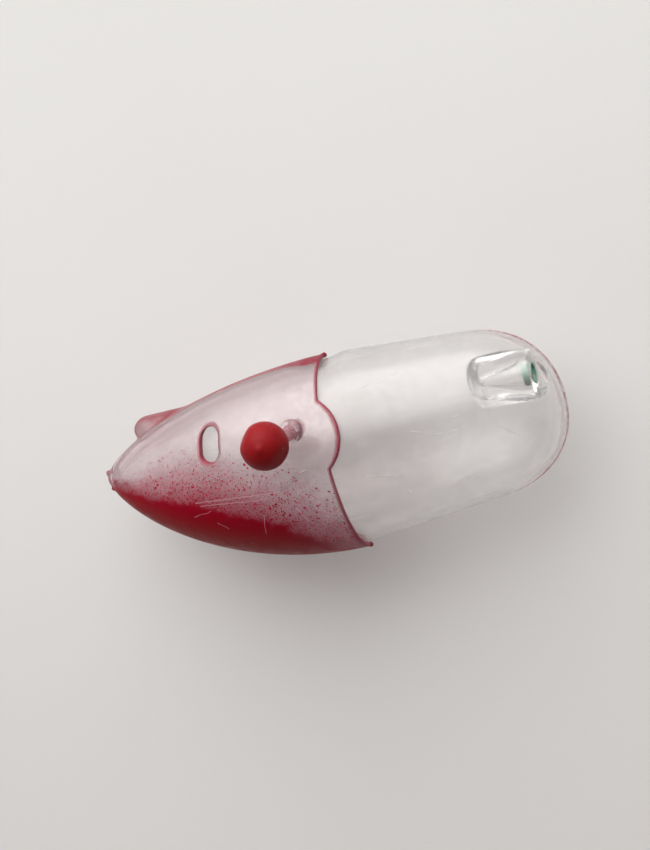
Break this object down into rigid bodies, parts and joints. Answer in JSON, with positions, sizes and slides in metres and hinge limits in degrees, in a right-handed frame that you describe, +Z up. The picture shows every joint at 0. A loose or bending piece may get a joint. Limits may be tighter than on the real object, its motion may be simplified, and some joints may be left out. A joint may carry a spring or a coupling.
{
  "type": "casting float",
  "caption": "Clear hollow fish-shaped float with a red-sprayed half cap, a ball-headed side plug and a blind tail socket.",
  "frame": {"origin": "middle of the underside of the float's box as it lies on its plain flank", "axes": "+X along the body from nose to tail, +Y towards the back, +Z up, out of the flank that carries the plug"},
  "size_m": [0.0816, 0.0338, 0.0411],
  "materials": {
    "sprayed_clear_plastic": "clear moulding, sprayed red from the belly, scratched",
    "clear_plastic": "clear, slightly hazy moulding",
    "tarnished_brass": "green with corrosion",
    "pink_plastic": "translucent, tinted pink",
    "red_plastic": "opaque moulded red"
  },
  "bodies": {
    "float_body": {"nose_cap": "sprayed_clear_plastic", "plug_side_shell": "clear_plastic", "plain_side_shell": "clear_plastic", "socket_ferrule": "tarnished_brass"},
    "plug": {"plug_stem": "pink_plastic", "plug_ball": "red_plastic"}
  },
  "joints": [
    {"name": "plug_pull", "type": "slide", "parent": "float_body", "child": "plug", "axis": [-0.2241, -0.0849, 0.9708], "range_m": [0, 0.006]}
  ]
}
